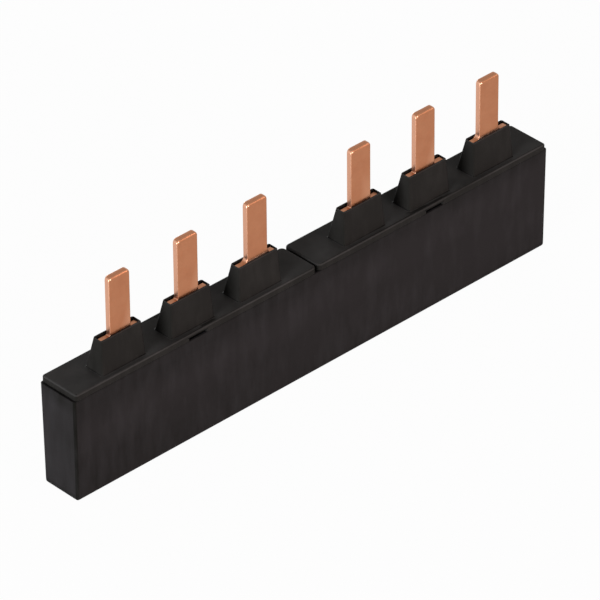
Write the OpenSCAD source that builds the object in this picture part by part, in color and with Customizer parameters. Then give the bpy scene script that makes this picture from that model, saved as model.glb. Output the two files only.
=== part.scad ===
// Three-phase comb busbar for two side-by-side switching devices.
// A thin moulded trough holds three stamped copper bars on edge with insulating strips between
// them. Two snap-on covers close it, and six narrow tines rise through six tapered turrets.
// Millimetres. X runs along the row of tines, Y is the depth (front face at -Y), Z is up and the
// origin is the middle of the underside.

/* [Pitches] */
// Distance between the two groups of three tines, one group for each device
device_pitch = 45; // [43:1:60]
// Distance between neighbouring tines of one group
pole_pitch = 12.6; // [11.4:0.1:13.4]

/* [Copper bars] */
// Thickness of the copper sheet that the bars are stamped from
bar_t = 0.9; // [0.7:0.1:1.4]
// Height of each bar standing on edge in the trough
bar_h = 11; // [8:0.5:18]
// Gap between a bar's end and the trough's end wall
bar_end_gap = 0.5; // [0.3:0.1:2]
// Straight rise above a bar's upper edge before the stem steps forward
jog_gap = 0.6; // [0.4:0.1:1.5]
// Straight rise of the rearmost stem between its step and the covers
jog_top = 0.9; // [0.5:0.1:2]
// Width of the stem inside the turret
stem_w = 6.7; // [4.8:0.1:7.6]

/* [Tines] */
// Width of a tine
tine_w = 3.6; // [2.6:0.1:4.4]
// Length of a tine above its turret, measured on the middle bar, which stands the highest
tine_out = 9.4; // [6:0.05:14]
// How far the front bar's tips stay below the middle bar's
tip_drop_l1 = 0.25; // [0:0.05:0.5]
// How far the rear bar's tips stay below the middle bar's
tip_drop_l3 = 0.05; // [0:0.05:0.5]
// Radius of the two corners at a tine's tip
tip_r = 0.55; // [0.3:0.05:1.2]
// Drop of the stem's shoulders below the turret's rim, front bar
shoulder_drop_l1 = 0.4; // [0.1:0.05:1]
// Drop of the stem's shoulders below the turret's rim, middle bar
shoulder_drop_l2 = 0.3; // [0.1:0.05:1]
// Drop of the stem's shoulders below the turret's rim, rear bar
shoulder_drop_l3 = 0.15; // [0.1:0.05:1]
// Radius at the root of the tines of the front and middle bars
root_r = 0.2; // [0.1:0.05:0.4]
// Radius at the root of the rear bar's tines, which are blanked with a softer corner
rear_root_r = 0.7; // [0.2:0.1:0.9]

/* [Separators] */
// Thickness of each insulating strip between two bars
sep_t = 0.5; // [0.4:0.1:1.2]
// Height by which a strip stands above the bars' upper edges
sep_rise = 0.3; // [0.1:0.1:0.4]
// Gap between a strip's end and the trough's end wall
sep_end_gap = 0.3; // [0.2:0.1:1]

/* [Housing] */
// Thickness of the trough's front and back walls
wall_t = 1.45; // [1.1:0.05:2.2]
// Thickness of the trough's floor
floor_t = 1.2; // [0.8:0.1:2.5]
// Thickness of the trough's end walls
end_t = 1.5; // [1:0.1:2.5]
// Play between the stack of bars and each long wall
stack_play = 0.2; // [0.1:0.05:0.5]
// Radius of the outer vertical and bottom edges
edge_r = 0.35; // [0.2:0.05:0.9]

/* [Covers] */
// Thickness of the cover plate above the trough's rim
cover_t = 1; // [0.8:0.1:2]
// Gap between the two covers
cover_gap = 0.6; // [0.3:0.1:1.5]
// Distance of a cover's outer end from the trough's end face
cover_inset = 0.35; // [0.1:0.05:0.8]
// Radius of the cover's upper edges
cover_r = 0.25; // [0.1:0.05:0.6]
// Length of the notch for prying a cover off
notch_l = 3.2; // [2:0.1:6]
// Height of the notch
notch_h = 0.45; // [0.2:0.05:0.6]
// Depth of the notch into the cover's front edge
notch_d = 1.1; // [0.5:0.1:1.3]

/* [Turrets] */
// Height of a turret above the cover plate
turret_h = 5.3; // [3:0.1:8]
// Wall of the turret's rim beside the stem
rim_side = 0.18; // [0.12:0.02:1]
// Wall of the rim in front of the stem
rim_front = 0.3; // [0.25:0.05:0.6]
// Wall of the rim behind the stem
rim_back = 0.2; // [0.15:0.05:0.8]
// Outward lean of each side from rim to foot
lean_side = 0.34; // [0.1:0.02:0.9]
// Outward lean of the front from rim to foot
lean_front = 0.35; // [0.1:0.05:0.7]
// Outward lean of the back from rim to foot
lean_back = 1.35; // [0.2:0.05:2]
// Radius of the turret's corners
turret_r = 0.3; // [0.1:0.05:0.4]
// Clearance between the stem and the slot at each side
slot_side = 0.08; // [0.04:0.02:0.4]
// Clearance in front of the stem
slot_front = 0.1; // [0.05:0.05:0.3]
// Clearance behind the stem
slot_back = 0.3; // [0.05:0.05:0.5]

/* [Snap lugs] */
// Length of each lug under a cover
lug_l = 3.5; // [2:0.1:4.2]
// Depth of a lug below the trough's rim
lug_h = 2.2; // [1.6:0.1:3]
// Clearance between a lug and the trough's walls
lug_fit = 0.1; // [0.05:0.05:0.2]
// Height by which the snap bead stands out of a lug's face
bead_out = 0.25; // [0.15:0.05:0.4]
// Height of the snap bead
bead_h = 0.6; // [0.4:0.1:0.9]
// Clearance round the bead in its recess
bead_fit = 0.1; // [0.05:0.05:0.2]

/* [Hidden] */
$fn = 48;
eps = 0.01;

// One bar and one strip make a layer; the tines all stand in the front layer's plane.
layer = bar_t + sep_t;
tine_y = -layer;
cavity_d = 3 * bar_t + 2 * sep_t + 2 * stack_play;
body_d = cavity_d + 2 * wall_t;
body_l = 2 * device_pitch;
cavity_l = body_l - 2 * end_t;

// Heights, from the underside up.
bar_top = floor_t + bar_h;
jog_z = bar_top + jog_gap;
rim_z = jog_z + 2 * layer + jog_top;
plate_z = rim_z + cover_t;
turret_z = plate_z + turret_h;
tip_max = turret_z + tine_out;

// A cover's plan, from its own middle at the device's middle.
cover_out = device_pitch / 2 - cover_inset;
cover_in = device_pitch / 2 - cover_gap / 2;

// The turret's slot and outline at its rim.
slot_hx = stem_w / 2 + slot_side;
slot_y0 = tine_y - bar_t / 2 - slot_front;
slot_y1 = tine_y + bar_t / 2 + slot_back;
top_hx = slot_hx + rim_side;
top_y0 = slot_y0 - rim_front;
top_y1 = slot_y1 + rim_back;

// Lugs sit between the stems and beside the cover's ends, clear of the end walls.
lug_end = device_pitch / 2 - end_t - lug_fit - lug_l / 2;
lug_x = [-lug_end, -pole_pitch / 2, pole_pitch / 2, lug_end];
lug_d = cavity_d - 2 * lug_fit;
bead_l = lug_l - 0.8;
bead_z = rim_z - lug_h + bead_h / 2 + 0.3;

black = [0.16, 0.15, 0.15];
copper = [0.77, 0.51, 0.37];
grey = [0.32, 0.32, 0.34];

// Outline of a box with rounded lower and upper edges, w wide, between the heights z0 and z1.
module edge_outline(w, z0, z1, rb, rt) {
    translate([-w / 2, z0 + rb]) square([w, z1 - z0 - rb - rt]);
    if (rb > 0) {
        translate([-w / 2 + rb, z0]) square([w - 2 * rb, rb + eps]);
        for (s = [-1, 1]) translate([s * (w / 2 - rb), z0 + rb]) circle(rb);
    }
    if (rt > 0) {
        translate([-w / 2 + rt, z1 - rt - eps]) square([w - 2 * rt, rt + eps]);
        for (s = [-1, 1]) translate([s * (w / 2 - rt), z1 - rt]) circle(rt);
    }
}

// Rectangle with rounded corners, centred.
module round_rect(l, d, r) {
    square([l - 2 * r, d], center = true);
    square([l, d - 2 * r], center = true);
    for (x = [-1, 1], y = [-1, 1]) translate([x * (l / 2 - r), y * (d / 2 - r)]) circle(r);
}

// Box with rounded vertical edges rv, lower edges rb and upper edges rt.
module round_block(l, d, z0, z1, rv, rb, rt) {
    intersection() {
        translate([0, 0, z0]) linear_extrude(z1 - z0) round_rect(l, d, rv);
        rotate([90, 0, 90]) linear_extrude(l + 1, center = true) edge_outline(d, z0, z1, rb, rt);
        rotate([90, 0, 0]) linear_extrude(d + 1, center = true) edge_outline(l, z0, z1, rb, rt);
    }
}

module housing() color(black) {
    difference() {
        round_block(body_l, body_d, 0, rim_z, edge_r, edge_r, 0);
        translate([-cavity_l / 2, -cavity_d / 2, floor_t])
            cube([cavity_l, cavity_d, rim_z]);
        // recesses that the covers' snap beads click into
        for (dev = [-1, 1], x = lug_x) translate([dev * device_pitch / 2 + x, 0, bead_z])
            cube([bead_l + 2 * bead_fit, cavity_d + 2 * (bead_out - lug_fit + bead_fit),
                  bead_h + 2 * bead_fit], center = true);
    }
}

// Thin slab of the turret's outline, h above its rim or foot, with rounded corners.
module turret_slab(hx, y0, y1, z) {
    translate([0, (y0 + y1) / 2, z]) linear_extrude(eps)
        round_rect(2 * hx, y1 - y0, turret_r);
}

module turret() {
    hull() {
        turret_slab(top_hx, top_y0, top_y1, turret_z - eps, $fn = 32);
        turret_slab(top_hx + lean_side, top_y0 - lean_front, top_y1 + lean_back,
                    plate_z - eps, $fn = 32);
    }
}

// Lug with a snap bead on its front and back faces; the bead's underside is a lead-in ramp.
module lug() {
    translate([-lug_l / 2, -lug_d / 2, rim_z - lug_h]) cube([lug_l, lug_d, lug_h + eps]);
    rotate([90, 0, 90]) translate([0, bead_z]) linear_extrude(bead_l, center = true)
        polygon([[-lug_d / 2, -bead_h / 2], [-lug_d / 2 - bead_out, bead_h / 6],
                 [-lug_d / 2 - bead_out, bead_h / 2], [lug_d / 2 + bead_out, bead_h / 2],
                 [lug_d / 2 + bead_out, bead_h / 6], [lug_d / 2, -bead_h / 2]]);
}

// One cover with its three turrets; side is -1 for the left one and 1 for the right one.
module cover(side) color(black) {
    x_out = side * cover_out;
    x_in = -side * cover_in;
    translate([side * device_pitch / 2, 0, 0]) difference() {
        union() {
            translate([(x_out + x_in) / 2, 0, 0])
                round_block(cover_out + cover_in, body_d, rim_z, plate_z, edge_r, 0, cover_r);
            for (k = [-1, 0, 1]) translate([k * pole_pitch, 0, 0]) turret();
            for (x = lug_x) translate([x, 0, 0]) lug();
        }
        // slots for the stems
        for (k = [-1, 0, 1]) translate([k * pole_pitch - slot_hx, slot_y0, rim_z - eps])
            cube([2 * slot_hx, slot_y1 - slot_y0, turret_z - rim_z + 1]);
        // notch for prying the cover off, low in the front edge
        translate([-notch_l / 2, -body_d / 2 - 1, rim_z - 1])
            cube([notch_l, notch_d + 1, notch_h + 1]);
    }
}

module cover_left() cover(-1);
module cover_right() cover(1);

// Front outline of a stem and its tine: wide stem, shoulders at shoulder_z, root fillets, tip at tip_z.
module stem_outline(root, shoulder_z, tip_z) {
    h = tip_z - shoulder_z;
    translate([-stem_w / 2, bar_top - 1]) square([stem_w, shoulder_z - bar_top + 1]);
    translate([-tine_w / 2, shoulder_z - eps]) square([tine_w, h - tip_r + eps]);
    translate([-tine_w / 2 + tip_r, shoulder_z]) square([tine_w - 2 * tip_r, h]);
    for (s = [-1, 1]) {
        translate([s * (tine_w / 2 - tip_r), tip_z - tip_r]) circle(tip_r);
        difference() {
            translate([s * (tine_w / 2 + root / 2), shoulder_z + root / 2 - eps])
                square(root + 2 * eps, center = true);
            translate([s * (tine_w / 2 + root), shoulder_z + root]) circle(root);
        }
    }
}

// Side outline of a stem that rises from the layer at y and steps forward to the tines' plane.
module step_outline(y) {
    t = bar_t / 2;
    rise = y - tine_y;
    m = t * tan(22.5);
    z0 = bar_top - 1;
    if (rise > eps)
        polygon([[y - t, z0], [y + t, z0], [y + t, jog_z + m], [tine_y + t, jog_z + rise + m],
                 [tine_y + t, tip_max + 1], [tine_y - t, tip_max + 1],
                 [tine_y - t, jog_z + rise - m], [y - t, jog_z - m]]);
    else
        translate([tine_y - t, z0]) square([bar_t, tip_max + 1 - z0]);
}

// One phase's bar: pole is its place in each group (-1, 0, 1), y its layer, drop the depth of its
// shoulders below the turrets' rims and tip_drop that of its tips below the highest tip.
module bar(pole, y, root, drop, tip_drop) color(copper) {
    bar_l = cavity_l - 2 * bar_end_gap;
    translate([-bar_l / 2, y - bar_t / 2, floor_t]) cube([bar_l, bar_t, bar_h]);
    for (dev = [-1, 1]) translate([dev * device_pitch / 2 + pole * pole_pitch, 0, 0])
        intersection() {
            rotate([90, 0, 0]) linear_extrude(body_d, center = true)
                stem_outline(root, turret_z - drop, tip_max - tip_drop);
            rotate([90, 0, 90]) linear_extrude(stem_w + 2, center = true) step_outline(y);
        }
}

module bar_l1() bar(-1, -layer, root_r, shoulder_drop_l1, tip_drop_l1);
module bar_l2() bar(0, 0, root_r, shoulder_drop_l2, 0);
module bar_l3() bar(1, layer, rear_root_r, shoulder_drop_l3, tip_drop_l3);

// Insulating strip that fills the space between two layers.
module separator(y) color(grey) {
    sep_l = cavity_l - 2 * sep_end_gap;
    translate([-sep_l / 2, y - sep_t / 2, floor_t]) cube([sep_l, sep_t, bar_h + sep_rise]);
}

module separator_front() separator(-layer / 2);
module separator_back() separator(layer / 2);

housing();
cover_left();
cover_right();
bar_l1();
bar_l2();
bar_l3();
separator_front();
separator_back();
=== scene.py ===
"""Looks for the comb busbar: moulded trough, two snap-on covers and three copper bars."""

import math

import bmesh
import bpy
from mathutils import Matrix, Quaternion, Vector


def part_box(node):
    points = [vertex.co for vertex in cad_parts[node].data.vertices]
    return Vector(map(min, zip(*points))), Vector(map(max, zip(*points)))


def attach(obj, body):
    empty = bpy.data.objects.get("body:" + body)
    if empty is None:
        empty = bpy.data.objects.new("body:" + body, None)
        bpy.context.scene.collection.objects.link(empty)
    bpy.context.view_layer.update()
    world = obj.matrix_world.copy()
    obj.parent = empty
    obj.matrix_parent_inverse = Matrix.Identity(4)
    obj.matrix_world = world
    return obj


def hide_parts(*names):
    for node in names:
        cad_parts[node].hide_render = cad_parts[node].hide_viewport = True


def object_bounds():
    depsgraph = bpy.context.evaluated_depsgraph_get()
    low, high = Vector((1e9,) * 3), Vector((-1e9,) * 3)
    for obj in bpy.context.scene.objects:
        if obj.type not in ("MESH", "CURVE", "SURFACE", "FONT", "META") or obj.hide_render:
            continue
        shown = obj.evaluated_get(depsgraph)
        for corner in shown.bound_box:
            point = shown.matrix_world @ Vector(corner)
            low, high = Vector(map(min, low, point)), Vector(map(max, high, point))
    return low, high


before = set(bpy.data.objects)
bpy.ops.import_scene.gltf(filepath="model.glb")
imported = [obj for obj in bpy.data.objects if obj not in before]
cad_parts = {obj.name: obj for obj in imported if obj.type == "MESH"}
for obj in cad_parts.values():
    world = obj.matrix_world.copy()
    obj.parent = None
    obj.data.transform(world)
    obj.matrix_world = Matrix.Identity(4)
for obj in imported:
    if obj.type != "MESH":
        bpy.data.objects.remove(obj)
CAD_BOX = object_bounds()

# Lengths of the part are in millimetres until a finished piece is scaled to metres.
MM = 0.001

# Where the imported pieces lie: lowest and highest corner.
TROUGH = [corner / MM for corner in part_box("housing")]
LEFT_COVER = [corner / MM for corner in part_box("cover_left")]
RIGHT_COVER = [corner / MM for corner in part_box("cover_right")]
FRONT_BAR = [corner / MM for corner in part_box("bar_l1")]

# Sizes that follow from them.
RIM_Z = TROUGH[1].z
TURRET_Z = LEFT_COVER[1].z
BODY_D = TROUGH[1].y - TROUGH[0].y
DEVICE_PITCH = (TROUGH[1].x - TROUGH[0].x) / 2
BAR_T = FRONT_BAR[1].y - FRONT_BAR[0].y
TINE_Y = (FRONT_BAR[0].y + FRONT_BAR[1].y) / 2
LAYER = -TINE_Y

# Distance from one pole's turret to the next.
POLE_PITCH = 12.6

# The last ring on a flat face lies this far inside its edge, and no corner is sharper than this.
FLAT_MARGIN = 0.25
LEAST_R = 0.02
# How far a cutting box stands out of the face that it cuts.
CUT_PAST = 1.0

# Trough: walls, outer edges, taper of each side towards the foot, rounding of the rim, corners
# of the cavity, and the heights of the rings up its sides as shares of the height.
WALL_T, FLOOR_T, END_T = 1.45, 1.2, 1.5
EDGE_R = 0.42
DRAFT = 0.15
RIM_SOFT = 0.06
CAVITY_R = 0.25
TROUGH_RINGS = (0.06, 0.3, 0.6, 0.85, 0.98)

# Pocket in the front wall behind each pry notch: reach to the left and right of the device's
# middle, depth below the rim, and the wall left in front of it.
POCKET_LEFT, POCKET_RIGHT, POCKET_DEEP, POCKET_SKIN = 1.55, 2.4, 3.0, 0.5
POCKET_PAST = 0.3

# Cover plate. The ends where the two covers meet are a little longer, with softer corners.
COVER_T, COVER_R = 1.0, 0.25
PLATE_Z = RIM_Z + COVER_T
PLATE_FOOT_R = 0.05
MEETING_MORE, MEETING_R = 0.15, 0.75
# Rings that keep the shading of its edges narrow: above the foot, below and inside the top edge.
PLATE_FOOT_RING, PLATE_EDGE_RING, PLATE_TOP_RING = 0.16, 0.1, 0.12

# Pry notch: reach to the left and right of the device's middle, depth and height, and how far
# from the middle the rings beside it lie.
NOTCH_LEFT, NOTCH_RIGHT, NOTCH_DEEP, NOTCH_HIGH = 1.6, 1.75, 1.1, 0.54
NOTCH_RING = 2.0

# Snap lugs under a cover: half width, clearance to the trough, broken edges.
LUG_HALF, LUG_CLEAR, LUG_EDGE = 1.75, 0.1, 0.15

# Copper: height of the strip, widths of stem and tine, corners of tip, shoulder and stem foot.
# The stems made here are STEM_SHOWN wide, and so are the slots around them; the turrets' outer
# walls are placed by STEM_W.
BAR_H = 11.0
STEM_W, STEM_SHOWN = 6.7, 6.92
TINE_W, TIP_R = 3.72, 0.55
SHOULDER_R, STEM_FOOT_R = 0.18, 0.4
# Rolled-over edges that punching leaves: along the sides, at the tips, and on the back.
SIDE_ROLL, TIP_ROLL, BACK_ROLL = 0.11, 0.38, 0.14
ROLL_STEPS = 4
# Ring on each flat face, this far inside the roll-over, and the limit that keeps a ring's corner
# from running out where the outline turns sharply.
FACE_RING = 0.06
LEAST_MITRE = 0.6
# The stems of the rear bars step forward from this height above the strip.
STEP_START, STEP_CUTS = 0.6, 12

# Turret: slot around the stem, thin walls at the rim, how much wider it is at its foot, corners,
# fillet at the foot, broken rim and lip of the slot, how far it starts below the plate's top.
SLOT_SIDE, SLOT_FRONT, SLOT_BACK = 0.08, 0.1, 0.3
SLOT_HALF = STEM_SHOWN / 2 + 0.03
SLOT_Y = (TINE_Y - BAR_T / 2 - SLOT_FRONT, TINE_Y + BAR_T / 2 + SLOT_BACK)
SLOT_R = 0.12
RIM_SIDE, RIM_FRONT, RIM_BACK = 0.18, 0.3, 0.2
LEAN_SIDE, LEAN_FRONT, LEAN_BACK = 0.34, 0.35, 1.35
TURRET_R, TURRET_FOOT_R, TURRET_TOP_R, SLOT_LIP_R = 0.3, 0.14, 0.05, 0.04
TURRET_SINK = 0.05
TURRET_RINGS = (0.07, 0.2, 0.4, 0.6, 0.8, 0.95)
# The hole in the plate is wider than the slot, under the turret's walls, with a flat border.
HOLE_WIDER, HOLE_BORDER, HOLE_R = 0.04, 0.15, 0.1

# Camera: degrees round from the front, up and tilted; distance in metres; aim off the middle.
CAMERA_TURN, CAMERA_RISE, CAMERA_ROLL = -43.22, 34.33, -0.493
CAMERA_AWAY = 0.8567
CAMERA_AIM = (-0.057, -4.904, 0)
LENS, SENSOR = 372.0, 36.0

# Floor and surroundings: how much of the floor shows as plain white, and the sky's levels.
FLOOR_RADIUS, FLOOR_PAINT, FLOOR_WHITE = 12, 0.8, 0.97
SKY_LIGHT, SKY_SEEN, SKY_SEEN_OVERHEAD = 0.22, 1.0, 0.8
OVERHEAD_FROM, OVERHEAD_TO = 0.3, 0.6

# Edges that turn by more than this many degrees stay crisp. A finish's bumps are this high, in
# metres.
CRISP_ANGLE = 50
BUMP_STEP = 0.00002

# Painted shade for the inner corners and the upright outer corners of the mouldings.
INNER_CORNER_SHADE = (0.004, 0.0038, 0.0035, 1)
UPRIGHT_CORNER_SHADE = (0.005, 0.0052, 0.004, 1)


# ---------------------------------------------------------------- mesh helpers


def quarter_turn(steps):
    """Sine and cosine at even steps from 0 to 90 degrees."""
    angles = [math.radians(90 * i / steps) for i in range(steps + 1)]
    return [(math.sin(a), math.cos(a)) for a in angles]


def rounded_loop(x0, x1, y0, y1, radius, z, left_radius=None, steps=6):
    """Points of a rectangle with rounded corners, anticlockwise, all at the height z."""
    left = radius if left_radius is None else left_radius
    points = []
    for cx, cy, r, start in (
        (x1 - radius, y1 - radius, radius, 0),
        (x0 + left, y1 - left, left, 90),
        (x0 + left, y0 + left, left, 180),
        (x1 - radius, y0 + radius, radius, 270),
    ):
        for i in range(steps + 1):
            a = math.radians(start + 90 * i / steps)
            points.append((cx + r * math.cos(a), cy + r * math.sin(a), z))
    return points


def skin_loops(bm, loops, ends="capped"):
    """Joins loops of equal length into a tube of quads; its ends are capped, open or joined."""
    rings = [[bm.verts.new(p) for p in loop] for loop in loops]
    n = len(rings[0])
    following = rings[1:] + (rings[:1] if ends == "joined" else [])
    for low, high in zip(rings, following):
        for i in range(n):
            j = (i + 1) % n
            bm.faces.new((low[i], low[j], high[j], high[i]))
    if ends == "capped":
        bm.faces.new(list(reversed(rings[0])))
        bm.faces.new(rings[-1])
    return rings


def fill_with_holes(bm, outer, holes):
    """Fills the flat area between one ring of vertices and the rings of its holes."""
    edges = []
    for ring in [outer] + holes:
        for a, b in zip(ring, ring[1:] + ring[:1]):
            edges.append(bm.edges.get((a, b)) or bm.edges.new((a, b)))
    bmesh.ops.triangle_fill(bm, edges=edges, use_beauty=True)


def slice_mesh(bm, point, normal, **options):
    """Adds a ring of edges where a plane crosses the mesh."""
    geometry = bm.verts[:] + bm.edges[:] + bm.faces[:]
    bmesh.ops.bisect_plane(bm, geom=geometry, plane_co=point, plane_no=normal, **options)


def box_mesh(bm, lo, hi):
    """Adds a plain closed box between two corners and returns its vertices."""
    made = bmesh.ops.create_cube(bm, size=1)
    lo, hi = Vector(lo), Vector(hi)
    bmesh.ops.scale(bm, vec=hi - lo, verts=made["verts"])
    bmesh.ops.translate(bm, vec=(hi + lo) / 2, verts=made["verts"])
    return made["verts"]


def object_from(bm, name):
    """Puts a mesh in the scene as an object, as it is, and frees it."""
    mesh = bpy.data.meshes.new(name)
    bm.to_mesh(mesh)
    bm.free()
    made = bpy.data.objects.new(name, mesh)
    bpy.context.collection.objects.link(made)
    return made


def carve(bm, boxes):
    """Cuts boxes out of a closed mesh with an exact boolean and returns the new mesh."""
    solid = object_from(bm, "carve solid")
    tool_mesh = bmesh.new()
    for lo, hi in boxes:
        box_mesh(tool_mesh, lo, hi)
    tool = object_from(tool_mesh, "carve tool")
    cut = solid.modifiers.new("cut", "BOOLEAN")
    cut.operation = "DIFFERENCE"
    cut.solver = "EXACT"
    cut.object = tool
    result = bmesh.new()
    result.from_object(solid, bpy.context.evaluated_depsgraph_get())
    for item in (solid, tool):
        mesh = item.data
        bpy.data.objects.remove(item)
        bpy.data.meshes.remove(mesh)
    return result


def finish_piece(name, bm, replaces):
    """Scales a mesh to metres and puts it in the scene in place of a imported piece."""
    bmesh.ops.recalc_face_normals(bm, faces=bm.faces)
    bmesh.ops.scale(bm, vec=(MM, MM, MM), verts=bm.verts)
    piece = object_from(bm, name)
    for face in piece.data.polygons:
        face.use_smooth = True
    piece.data.set_sharp_from_angle(angle=math.radians(CRISP_ANGLE))
    even = piece.modifiers.new("even shading", "WEIGHTED_NORMAL")
    even.keep_sharp = True
    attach(piece, "root")
    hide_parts(replaces)
    return piece


# ---------------------------------------------------------------- moulded pieces


def make_trough():
    """Open moulded trough with rounded outer edges, a softened rim and an inner cavity."""
    lo, hi = TROUGH

    def outside(inset, radius, z):
        return rounded_loop(lo.x + inset, hi.x - inset, lo.y + inset, hi.y - inset, radius, z)

    def inside(grow, z):
        return rounded_loop(
            lo.x + END_T - grow, hi.x - END_T + grow,
            lo.y + WALL_T - grow, hi.y - WALL_T + grow,
            CAVITY_R, z,
        )

    loops = [outside(DRAFT + EDGE_R + FLAT_MARGIN, LEAST_R, 0)]
    for sine, cosine in quarter_turn(6):
        inset = EDGE_R * (1 - sine)
        radius = max(EDGE_R - inset, LEAST_R)
        loops.append(outside(DRAFT + inset, radius, EDGE_R * (1 - cosine)))
    for share in TROUGH_RINGS:
        loops.append(outside(DRAFT * (1 - share), EDGE_R, RIM_Z * share))
    for sine, cosine in quarter_turn(3):
        inset = RIM_SOFT * (1 - cosine)
        loops.append(outside(inset, EDGE_R - inset, RIM_Z - RIM_SOFT * (1 - sine)))
    for sine, cosine in quarter_turn(3):
        loops.append(inside(RIM_SOFT * (1 - sine), RIM_Z - RIM_SOFT * (1 - cosine)))
    loops.append(inside(0, FLOOR_T))
    bm = bmesh.new()
    skin_loops(bm, loops)
    bm.normal_update()

    pockets = [
        (
            (middle - POCKET_LEFT, lo.y + POCKET_SKIN, RIM_Z - POCKET_DEEP),
            (middle + POCKET_RIGHT, lo.y + WALL_T + POCKET_PAST, RIM_Z + CUT_PAST),
        )
        for middle in (-DEVICE_PITCH / 2, DEVICE_PITCH / 2)
    ]
    return finish_piece("trough", carve(bm, pockets), "housing")


def slot_loop(cx, out, radius, z, steps=6):
    """Loop around the stem slot at cx, wider than the slot by `out` on every side."""
    return rounded_loop(
        cx - SLOT_HALF - out, cx + SLOT_HALF + out, SLOT_Y[0] - out, SLOT_Y[1] + out,
        radius, z, steps=steps,
    )


def turret_loops(cx):
    """Loops of one turret, from its foot up, over the thin rim and down the slot."""
    half_top = STEM_W / 2 + SLOT_SIDE + RIM_SIDE
    height = TURRET_Z - PLATE_Z

    def wall(z, out):
        down = (TURRET_Z - z) / height
        side = half_top + LEAN_SIDE * down + out
        front = SLOT_Y[0] - RIM_FRONT - LEAN_FRONT * down - out
        back = SLOT_Y[1] + RIM_BACK + LEAN_BACK * down + out
        return rounded_loop(cx - side, cx + side, front, back, TURRET_R + out, z)

    loops = [wall(PLATE_Z - TURRET_SINK, TURRET_FOOT_R)]
    for sine, cosine in quarter_turn(3):
        loops.append(wall(PLATE_Z + TURRET_FOOT_R * (1 - cosine), TURRET_FOOT_R * (1 - sine)))
    for share in TURRET_RINGS:
        loops.append(wall(PLATE_Z + height * share, 0))
    for sine, cosine in quarter_turn(3):
        loops.append(wall(TURRET_Z - TURRET_TOP_R * (1 - sine), -TURRET_TOP_R * (1 - cosine)))
    for sine, cosine in quarter_turn(2):
        out = SLOT_LIP_R * (1 - sine)
        loops.append(slot_loop(cx, out, SLOT_R + out, TURRET_Z - SLOT_LIP_R * (1 - cosine)))
    loops.append(slot_loop(cx, 0, SLOT_R, RIM_Z))
    return loops


def hole_ring(bm, cx):
    """Walls of the plate's hole under a turret, with a border; returns its end rings."""
    steps = (
        (HOLE_WIDER + HOLE_BORDER, RIM_Z), (HOLE_WIDER, RIM_Z),
        (HOLE_WIDER, PLATE_Z), (HOLE_WIDER + HOLE_BORDER, PLATE_Z),
    )
    loops = [slot_loop(cx, out, HOLE_R, z, steps=1) for out, z in steps]
    rings = skin_loops(bm, loops, ends="open")
    return rings[0], rings[-1]


def make_cover(name, node, box):
    """Snap-on cover: plate with a pry notch, three turrets and the lugs under it."""
    lo, hi = (corner.copy() for corner in box)
    middle = math.copysign(DEVICE_PITCH / 2, lo.x + hi.x)
    on_left = middle < 0
    if on_left:
        hi.x += MEETING_MORE
    else:
        lo.x -= MEETING_MORE
    poles = [middle + k * POLE_PITCH for k in (-1, 0, 1)]
    bm = bmesh.new()

    def plate(inset, z):
        meeting, outer = (max(r - inset, LEAST_R) for r in (MEETING_R, EDGE_R))
        left, right = (outer, meeting) if on_left else (meeting, outer)
        return rounded_loop(
            lo.x + inset, hi.x - inset, lo.y + inset, hi.y - inset, right, z, left_radius=left
        )

    loops = [
        plate(FLAT_MARGIN, RIM_Z),
        plate(PLATE_FOOT_R, RIM_Z),
        plate(0, RIM_Z + PLATE_FOOT_R),
        plate(0, RIM_Z + PLATE_FOOT_RING),
        plate(0, PLATE_Z - COVER_R - PLATE_EDGE_RING),
    ]
    for sine, cosine in quarter_turn(5):
        loops.append(plate(COVER_R * (1 - cosine), PLATE_Z - COVER_R * (1 - sine)))
    loops.append(plate(COVER_R + PLATE_TOP_RING, PLATE_Z))
    rings = skin_loops(bm, loops, ends="open")
    undersides, tops = zip(*[hole_ring(bm, x) for x in poles])
    fill_with_holes(bm, rings[0], list(undersides))
    fill_with_holes(bm, rings[-1], list(tops))
    bmesh.ops.recalc_face_normals(bm, faces=bm.faces)
    # rings beside the notch keep its shading from running along the plate
    for x in (middle - NOTCH_RING, middle + NOTCH_RING):
        slice_mesh(bm, (x, 0, 0), (1, 0, 0))
    notch = (
        (middle - NOTCH_LEFT, lo.y - CUT_PAST, RIM_Z - CUT_PAST),
        (middle + NOTCH_RIGHT, lo.y + NOTCH_DEEP, RIM_Z + NOTCH_HIGH),
    )
    bm = carve(bm, [notch])

    for x in poles:
        skin_loops(bm, turret_loops(x), ends="joined")
    lug_end = DEVICE_PITCH / 2 - END_T - LUG_CLEAR - LUG_HALF
    half = BODY_D / 2 - WALL_T - LUG_CLEAR
    for x in (-lug_end, -POLE_PITCH / 2, POLE_PITCH / 2, lug_end):
        left, right = middle + x - LUG_HALF, middle + x + LUG_HALF
        lug = box_mesh(bm, (left, -half, lo.z), (right, half, RIM_Z))
        edges = [e for e in bm.edges if e.verts[0] in lug and e.verts[1] in lug]
        bmesh.ops.bevel(bm, geom=edges, offset=LUG_EDGE, segments=2, affect="EDGES")
    return finish_piece(name, bm, node)


# ---------------------------------------------------------------- copper bars


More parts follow.
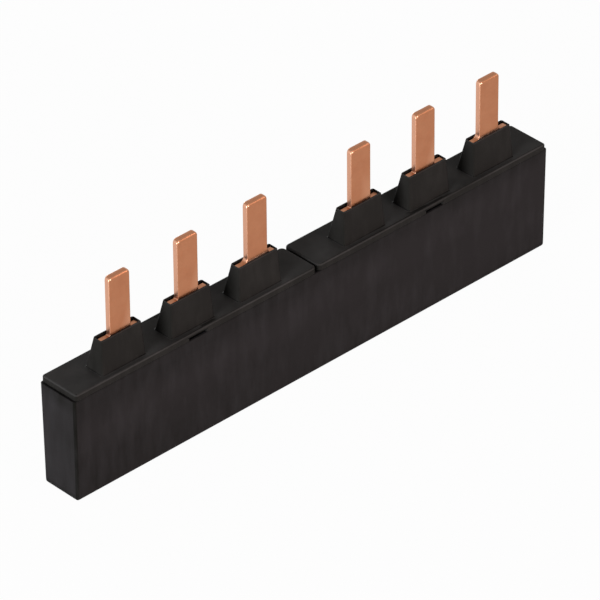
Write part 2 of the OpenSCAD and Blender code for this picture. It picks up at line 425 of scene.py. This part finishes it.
def comb_outline(poles, shifts, bar_x0, bar_x1, root, shoulder_z, tip_z):
    """Front outline of one stamped bar: x, z and the roll-over of the punched edge there."""
    strip_top = FLOOR_T + BAR_H
    points = [
        (bar_x0, FLOOR_T, SIDE_ROLL),
        (bar_x1, FLOOR_T, SIDE_ROLL),
        (bar_x1, strip_top, SIDE_ROLL),
    ]

    def arc(cx, cz, radius, start, end, steps, rolls=(SIDE_ROLL, SIDE_ROLL)):
        for i in range(steps + 1):
            share = i / steps
            a = math.radians(start + (end - start) * share)
            roll = rolls[0] + (rolls[1] - rolls[0]) * share
            points.append((cx + radius * math.cos(a), cz + radius * math.sin(a), roll))

    stem, tine = STEM_SHOWN / 2, TINE_W / 2
    foot_z, corner_z = strip_top + STEM_FOOT_R, shoulder_z - SHOULDER_R
    root_z, tip_arc_z = shoulder_z + root, tip_z - TIP_R
    for x, shift in sorted(zip(poles, shifts), reverse=True):
        mid = x + shift
        arc(x + stem + STEM_FOOT_R, foot_z, STEM_FOOT_R, 270, 180, 4)
        arc(x + stem - SHOULDER_R, corner_z, SHOULDER_R, 0, 90, 4)
        arc(mid + tine + root, root_z, root, 270, 180, 6)
        arc(mid + tine - TIP_R, tip_arc_z, TIP_R, 0, 90, 8, (SIDE_ROLL, TIP_ROLL))
        arc(mid - tine + TIP_R, tip_arc_z, TIP_R, 90, 180, 8, (TIP_ROLL, SIDE_ROLL))
        arc(mid - tine - root, root_z, root, 0, -90, 6)
        arc(x - stem + SHOULDER_R, corner_z, SHOULDER_R, 90, 180, 4)
        arc(x - stem - STEM_FOOT_R, foot_z, STEM_FOOT_R, 0, -90, 4)
    points.append((bar_x0, strip_top, SIDE_ROLL))
    return points


def inset_outline(outline, share, depth, extra=0.0):
    """Loop moved in from the outline by a share of each roll-over, at the depth that it gives."""
    n = len(outline)
    loop = []
    for i, (x, z, roll) in enumerate(outline):
        before_x, before_z, _ = outline[i - 1]
        after_x, after_z, _ = outline[(i + 1) % n]
        before = Vector((x - before_x, z - before_z)).normalized()
        after = Vector((after_x - x, after_z - z)).normalized()
        after_in = Vector((-after.y, after.x))
        inward = (Vector((-before.y, before.x)) + after_in).normalized()
        move = (roll * share + extra) / max(inward.dot(after_in), LEAST_MITRE)
        loop.append((x + inward.x * move, depth(roll), z + inward.y * move))
    return loop


def step_stems(bm, shift):
    """Bends everything above the strip forward by the shift, in a smooth S over its own length."""
    start, rise = FLOOR_T + BAR_H + STEP_START, abs(shift)
    for i in range(STEP_CUTS + 1):
        slice_mesh(bm, (0, 0, start + rise * i / STEP_CUTS), (0, 0, 1), dist=1e-5)
    for v in bm.verts:
        share = min(max((v.co.z - start) / rise, 0), 1)
        v.co.y += shift * (share * share * (3 - 2 * share))


def make_bar(name, node, pole, y, root, drop, shifts):
    """Stamped copper bar on edge at the depth y, its stems stepped to the tines' plane."""
    lo, hi = [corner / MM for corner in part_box(node)]
    poles = [side * DEVICE_PITCH / 2 + pole * POLE_PITCH for side in (-1, 1)]
    outline = comb_outline(poles, shifts, lo.x, hi.x, root, TURRET_Z - drop, hi.z)
    burred = [(x, z, min(roll, BACK_ROLL)) for x, z, roll in outline]
    front, back = y - BAR_T / 2, y + BAR_T / 2
    turn = quarter_turn(ROLL_STEPS)
    loops = [inset_outline(outline, 1, lambda roll: front, extra=FACE_RING)]
    for sine, cosine in turn:
        loops.append(inset_outline(outline, 1 - sine, lambda roll: front + roll * (1 - cosine)))
    for sine, cosine in reversed(turn):
        loops.append(inset_outline(burred, 1 - sine, lambda roll: back - roll * (1 - cosine)))
    loops.append(inset_outline(burred, 1, lambda roll: back, extra=FACE_RING))
    bm = bmesh.new()
    skin_loops(bm, loops)
    bm.normal_update()
    bmesh.ops.triangulate(bm, faces=[face for face in bm.faces if len(face.verts) > 4])
    if y != TINE_Y:
        step_stems(bm, TINE_Y - y)
    return finish_piece(name, bm, node)


# ---------------------------------------------------------------- finishes


class Wiring:
    """Adds nodes to one node tree. A value is a number, a colour or another node's socket."""

    def __init__(self, tree):
        self.tree = tree

    def add(self, kind):
        """A new node of the given kind."""
        return self.tree.nodes.new(kind)

    def feed(self, socket, value):
        """Links a socket to another, or sets it to a number or colour."""
        if isinstance(value, bpy.types.NodeSocket):
            self.tree.links.new(value, socket)
        else:
            socket.default_value = value

    def noise(self, place, scale, detail, rough):
        """Noise read at the given place, larger scale for finer grain."""
        texture = self.add("ShaderNodeTexNoise")
        self.feed(texture.inputs["Vector"], place)
        self.feed(texture.inputs["Scale"], scale)
        self.feed(texture.inputs["Detail"], detail)
        self.feed(texture.inputs["Roughness"], rough)
        return texture.outputs["Fac"]

    def drawn_out(self, place, squeeze):
        """The same place with its height squeezed, which draws a noise out upright."""
        mapping = self.add("ShaderNodeMapping")
        self.feed(mapping.inputs["Vector"], place)
        mapping.inputs["Scale"].default_value = (1, 1, squeeze)
        return mapping.outputs["Vector"]

    def spread(self, value, low, high, to_low=0.0, to_high=1.0):
        """Maps a value from one range to another, clamped."""
        ramp = self.add("ShaderNodeMapRange")
        self.feed(ramp.inputs["Value"], value)
        self.feed(ramp.inputs["From Min"], low)
        self.feed(ramp.inputs["From Max"], high)
        self.feed(ramp.inputs["To Min"], to_low)
        self.feed(ramp.inputs["To Max"], to_high)
        return ramp.outputs["Result"]

    def maths(self, operation, a, b=0.0):
        """A sum, product or other operation on two values."""
        node = self.add("ShaderNodeMath")
        node.operation = operation
        self.feed(node.inputs[0], a)
        self.feed(node.inputs[1], b)
        return node.outputs[0]

    def times(self, a, b):
        return self.maths("MULTIPLY", a, b)

    def plus(self, a, b):
        return self.maths("ADD", a, b)

    def mixed(self, factor, a, b):
        """Two colours mixed by a factor."""
        mix = self.add("ShaderNodeMix")
        mix.data_type = "RGBA"
        self.feed(mix.inputs[0], factor)
        self.feed(mix.inputs[6], a)
        self.feed(mix.inputs[7], b)
        return mix.outputs[2]

    def split(self, vector):
        """X, Y and Z outputs of a vector."""
        parts = self.add("ShaderNodeSeparateXYZ")
        self.feed(parts.inputs[0], vector)
        return parts.outputs

    def coordinate(self, label):
        """Texture coordinates of the given sort."""
        return self.add("ShaderNodeTexCoord").outputs[label]

    def pointiness(self):
        """Above 0.5 on outer edges, below it in inner corners."""
        return self.add("ShaderNodeNewGeometry").outputs["Pointiness"]


def new_group(name, inputs):
    """Shader node group with named inputs that puts out Colour, Roughness and Height."""
    group = bpy.data.node_groups.new(name, "ShaderNodeTree")
    for label, value in inputs.items():
        kind = "NodeSocketColor" if isinstance(value, tuple) else "NodeSocketFloat"
        socket = group.interface.new_socket(label, in_out="INPUT", socket_type=kind)
        socket.default_value = value
    for label, kind in (
        ("Colour", "NodeSocketColor"),
        ("Roughness", "NodeSocketFloat"),
        ("Height", "NodeSocketFloat"),
    ):
        group.interface.new_socket(label, in_out="OUTPUT", socket_type=kind)
    wires = Wiring(group)
    given = wires.add("NodeGroupInput").outputs
    result = wires.add("NodeGroupOutput").inputs
    return group, wires, given, result


def moulded_grain_and_light_group():
    """Spark-eroded mould texture with handling smudges, painted light and shade along the outer
    edges, and painted shade in the corners.
    """
    group, wires, given, result = new_group(
        "Moulded grain and painted light",
        {
            "Base": (0.02, 0.02, 0.02, 1),
            "Edge light and shade": (0.06, 0.06, 0.06, 1),
            "Dust": (0.08, 0.08, 0.08, 1),
            "Edge start": 0.52,
            "Edge full": 0.53,
            "Edge facing": 0.0,
            "Corner shade": 0.0,
            "Roughness": 0.5,
            "Smudges": 0.3,
            "Grain": 1.0,
        },
    )
    place = wires.coordinate("Object")
    facing = wires.split(wires.coordinate("Normal"))
    bend = wires.pointiness()
    fine = wires.noise(place, scale=5200, detail=2, rough=0.6)
    clouds = wires.noise(place, scale=160, detail=4, rough=0.55)
    wiped = wires.noise(wires.drawn_out(place, 0.22), scale=620, detail=3, rough=0.6)
    smudge = wires.spread(wires.times(clouds, wiped), low=0.2, high=0.42)
    smudge = wires.times(smudge, given["Smudges"])

    # outer edges that face up enough: painted light along them, a highlight on the covers and a
    # shade on the trough, and partly rubbed wear, which also makes them smoother
    edge_light_and_wear = wires.spread(bend, given["Edge start"], given["Edge full"])
    edge_light_and_wear = wires.times(edge_light_and_wear, wires.spread(clouds, low=0.3, high=0.7, to_low=0.4, to_high=1.0))
    edge_light_and_wear = wires.times(edge_light_and_wear, wires.spread(facing["Z"], low=given["Edge facing"], high=0.4))
    tone = wires.mixed(edge_light_and_wear, given["Base"], given["Edge light and shade"])

    # painted shade in the inner corners, and along the upright outer corners, where the normal
    # turns from one side to the next
    corners = wires.spread(bend, low=0.489, high=0.4985, to_low=0.95, to_high=0.0)
    tone = wires.mixed(corners, tone, INNER_CORNER_SHADE)
    upright = wires.maths("ABSOLUTE", wires.times(facing["X"], facing["Y"]))
    upright = wires.times(wires.spread(upright, low=0.08, high=0.32), given["Corner shade"])
    tone = wires.mixed(upright, tone, UPRIGHT_CORNER_SHADE)
    wires.feed(result["Colour"], wires.mixed(wires.times(smudge, 0.35), tone, given["Dust"]))

    rough = wires.plus(given["Roughness"], wires.times(smudge, 0.14))
    rough = wires.maths("SUBTRACT", rough, wires.times(edge_light_and_wear, 0.1))
    wires.feed(result["Roughness"], rough)
    height = wires.plus(wires.times(fine, given["Grain"]), wires.times(clouds, 1.5))
    wires.feed(result["Height"], height)
    return group


def rolled_copper_group():
    """Bare rolled copper: faint vertical drag marks, tarnish clouds, a painted highlight on the
    rolled edges and painted sheen on the side faces.
    """
    group, wires, given, result = new_group(
        "Rolled copper",
        {
            "Clean": (0.75, 0.36, 0.2, 1),
            "Tarnish": (0.5, 0.2, 0.1, 1),
            "Cut face and sheen": (0.7, 0.4, 0.28, 1),
            "Edge highlight": (0.9, 0.6, 0.45, 1),
            "Roughness": 0.35,
            "Tarnish amount": 0.4,
        },
    )
    place = wires.coordinate("Object")
    facing = wires.split(wires.coordinate("Normal"))
    drag = wires.noise(wires.drawn_out(place, 0.06), scale=6500, detail=3, rough=0.6)
    clouds = wires.noise(place, scale=420, detail=4, rough=0.6)
    speck = wires.noise(place, scale=2600, detail=3, rough=0.65)
    tarnish = wires.spread(clouds, low=0.38, high=0.66)
    tarnish = wires.times(tarnish, given["Tarnish amount"])
    base = wires.mixed(tarnish, given["Clean"], given["Tarnish"])

    # side faces lighter: partly their sheared finish, partly a painted sheen from the light on the
    # left
    cut = wires.spread(wires.maths("ABSOLUTE", facing["X"]), low=0.55, high=0.85)
    base = wires.mixed(cut, base, given["Cut face and sheen"])
    # painted highlight along the outer edges
    edge_highlight = wires.spread(wires.pointiness(), low=0.52, high=0.6)
    edge_highlight = wires.times(edge_highlight, wires.spread(clouds, low=0.25, high=0.6, to_low=0.5, to_high=1.0))
    wires.feed(result["Colour"], wires.mixed(edge_highlight, base, given["Edge highlight"]))

    specks = wires.spread(speck, low=0.35, high=0.7, to_low=-0.05, to_high=0.08)
    rough = wires.plus(wires.plus(given["Roughness"], specks), wires.times(tarnish, 0.15))
    wires.feed(result["Roughness"], rough)
    height = wires.plus(wires.plus(wires.times(drag, 0.5), speck), wires.times(clouds, 3.0))
    wires.feed(result["Height"], height)
    return group


def empty_tree(owner):
    """Node tree of a material or world, cleared."""
    owner.use_nodes = True
    owner.node_tree.nodes.clear()
    return Wiring(owner.node_tree)


def finish_material(name, group, values, specular, bump, metallic=0.0):
    """Principled material whose colour, roughness and bump come from one of the groups."""
    material = bpy.data.materials.new(name)
    wires = empty_tree(material)
    effect = wires.add("ShaderNodeGroup")
    effect.node_tree = group
    for label, value in values.items():
        effect.inputs[label].default_value = value
    relief = wires.add("ShaderNodeBump")
    wires.feed(relief.inputs["Strength"], bump)
    wires.feed(relief.inputs["Distance"], BUMP_STEP)
    wires.feed(relief.inputs["Height"], effect.outputs["Height"])
    shader = wires.add("ShaderNodeBsdfPrincipled")
    wires.feed(shader.inputs["Metallic"], metallic)
    wires.feed(shader.inputs["Specular IOR Level"], specular)
    wires.feed(shader.inputs["Base Color"], effect.outputs["Colour"])
    wires.feed(shader.inputs["Roughness"], effect.outputs["Roughness"])
    wires.feed(shader.inputs["Normal"], relief.outputs["Normal"])
    wires.feed(wires.add("ShaderNodeOutputMaterial").inputs["Surface"], shader.outputs["BSDF"])
    return material


def dress(piece, material):
    """Gives every slot of a piece one material."""
    if not piece.data.materials:
        piece.data.materials.append(material)
    for i in range(len(piece.data.materials)):
        piece.data.materials[i] = material


# ---------------------------------------------------------------- stage


def place_camera():
    """Long lens from the front left, above the part."""
    lo, hi = CAD_BOX
    turn, rise, roll = map(math.radians, (CAMERA_TURN, CAMERA_RISE, CAMERA_ROLL))
    back = Vector(
        (math.sin(turn) * math.cos(rise), -math.cos(turn) * math.cos(rise), math.sin(rise))
    )
    facing = (-back).to_track_quat("-Z", "Y") @ Quaternion((0, 0, 1), roll)
    aim = (lo + hi) / 2 + facing @ Vector(CAMERA_AIM) * MM
    lens = bpy.data.cameras.new("camera")
    lens.lens = LENS
    lens.sensor_width = SENSOR
    lens.clip_start, lens.clip_end = 0.01, 50
    camera = bpy.data.objects.new("camera", lens)
    camera.rotation_mode = "QUATERNION"
    camera.location = aim + back * CAMERA_AWAY
    camera.rotation_quaternion = facing
    bpy.context.collection.objects.link(camera)
    bpy.context.scene.camera = camera


def seen_directly(wires):
    """1 for camera, glossy and transmission rays, 0 for the light that falls on the part."""
    path = wires.add("ShaderNodeLightPath").outputs
    shown = wires.maths("MAXIMUM", path["Is Camera Ray"], path["Is Glossy Ray"])
    return wires.maths("MAXIMUM", shown, path["Is Transmission Ray"])


def make_floor():
    """Wide white floor that keeps a soft shadow."""
    bm = bmesh.new()
    bmesh.ops.create_circle(bm, cap_ends=True, segments=96, radius=FLOOR_RADIUS)
    floor = object_from(bm, "floor")
    floor.location.z = CAD_BOX[0].z
    material = bpy.data.materials.new("white floor")
    wires = empty_tree(material)
    paint = wires.add("ShaderNodeBsdfDiffuse")
    wires.feed(paint.inputs["Color"], (FLOOR_PAINT, FLOOR_PAINT, FLOOR_PAINT, 1))
    glow = wires.add("ShaderNodeEmission")
    wires.feed(glow.inputs["Color"], (1, 1, 1, 1))
    mix = wires.add("ShaderNodeMixShader")
    wires.feed(mix.inputs[0], wires.times(seen_directly(wires), FLOOR_WHITE))
    wires.feed(mix.inputs[1], paint.outputs[0])
    wires.feed(mix.inputs[2], glow.outputs[0])
    wires.feed(wires.add("ShaderNodeOutputMaterial").inputs["Surface"], mix.outputs[0])
    floor.data.materials.append(material)


def make_world():
    """Pale surroundings, dimmer overhead; white where the background itself shows."""
    world = bpy.data.worlds.new("studio")
    wires = empty_tree(world)
    height = wires.split(wires.coordinate("Generated"))["Z"]
    seen = wires.spread(height, OVERHEAD_FROM, OVERHEAD_TO, SKY_SEEN, SKY_SEEN_OVERHEAD)
    sky = wires.add("ShaderNodeBackground")
    wires.feed(sky.inputs["Color"], (1, 1, 1, 1))
    wires.feed(sky.inputs["Strength"], wires.spread(seen_directly(wires), 0, 1, SKY_LIGHT, seen))
    wires.feed(wires.add("ShaderNodeOutputWorld").inputs["Surface"], sky.outputs[0])
    bpy.context.scene.world = world


def add_softbox(name, position, size, power, colour=(1, 1, 1)):
    """Square area light that points at the middle of the part."""
    data = bpy.data.lights.new(name, "AREA")
    data.shape = "SQUARE"
    data.size = size
    data.energy = power
    data.color = colour
    lamp = bpy.data.objects.new(name, data)
    lamp.location = position
    lo, hi = CAD_BOX
    lamp.rotation_mode = "QUATERNION"
    lamp.rotation_quaternion = ((lo + hi) / 2 - Vector(position)).to_track_quat("-Z", "Y")
    bpy.context.collection.objects.link(lamp)


# ---------------------------------------------------------------- assembly

place_camera()
make_floor()
make_world()
add_softbox("left softbox", (-1.05, -0.3, 0.22), size=0.4, power=13.0, colour=(0.96, 0.97, 1.0))
add_softbox("front softbox", (0.2, -1.1, 0.2), size=0.36, power=8.3, colour=(1.0, 0.8, 0.77))
add_softbox("rear softbox", (0.35, 1.05, 0.12), size=0.24, power=5.0)

trough = make_trough()
covers = [
    make_cover("left_cover", "cover_left", LEFT_COVER),
    make_cover("right_cover", "cover_right", RIGHT_COVER),
]
bars = [
    make_bar("copper_bar_l1", "bar_l1", pole=-1, y=-LAYER, root=0.2, drop=0.25,
             shifts=(0.15, -0.05)),
    make_bar("copper_bar_l2", "bar_l2", pole=0, y=0.0, root=0.2, drop=0.18,
             shifts=(-0.1, -0.2)),
    make_bar("copper_bar_l3", "bar_l3", pole=1, y=LAYER, root=0.7, drop=0.15,
             shifts=(0.15, -0.25)),
]

grain = moulded_grain_and_light_group()
copper_skin = rolled_copper_group()
trough_plastic = finish_material(
    "black trough moulding",
    grain,
    {
        "Base": (0.0205, 0.0186, 0.0192, 1),
        "Edge light and shade": (0.007, 0.0066, 0.0058, 1),
        # painted shade along the trough's rounded edges, darker than its base
        "Dust": (0.06, 0.058, 0.062, 1),
        "Edge start": 0.511,
        "Edge full": 0.518,
        "Edge facing": -3.0,
        "Corner shade": 0.8,
        "Roughness": 0.48,
        "Smudges": 0.5,
        "Grain": 1.0,
    },
    specular=0.02,
    bump=0.25,
)
cover_plastic = finish_material(
    "black cover moulding",
    grain,
    {
        "Base": (0.0152, 0.0145, 0.0133, 1),
        # painted highlight along the covers' top edges
        "Edge light and shade": (0.05, 0.0485, 0.047, 1),
        "Dust": (0.06, 0.058, 0.055, 1),
        "Edge start": 0.519,
        "Edge full": 0.53,
        "Edge facing": 0.1,
        "Corner shade": 0.3,
        "Roughness": 0.46,
        "Smudges": 0.4,
        "Grain": 1.0,
    },
    specular=0.02,
    bump=0.25,
)
strip_plastic = finish_material(
    "grey insulating strip",
    grain,
    {
        "Base": (0.08, 0.08, 0.085, 1),
        # painted highlight along the strip's upward edges
        "Edge light and shade": (0.14, 0.14, 0.14, 1),
        "Dust": (0.14, 0.14, 0.14, 1),
        "Roughness": 0.55,
        "Smudges": 0.2,
        "Grain": 0.6,
    },
    specular=0.4,
    bump=0.15,
)
bare_copper = finish_material(
    "bare rolled copper",
    copper_skin,
    {
        "Clean": (0.435, 0.178, 0.088, 1),
        "Tarnish": (0.315, 0.114, 0.051, 1),
        # side faces: partly sheared finish, partly painted sheen
        "Cut face and sheen": (0.66, 0.34, 0.22, 1),
        # painted highlight on the edges
        "Edge highlight": (0.82, 0.50, 0.34, 1),
        "Roughness": 0.34,
        "Tarnish amount": 0.35,
    },
    specular=0.5,
    bump=0.35,
    metallic=1.0,
)

dress(trough, trough_plastic)
for cover in covers:
    dress(cover, cover_plastic)
for bar in bars:
    dress(bar, bare_copper)
for node in ("separator_front", "separator_back"):
    dress(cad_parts[node], strip_plastic)

bpy.context.scene.view_settings.view_transform = "Standard"
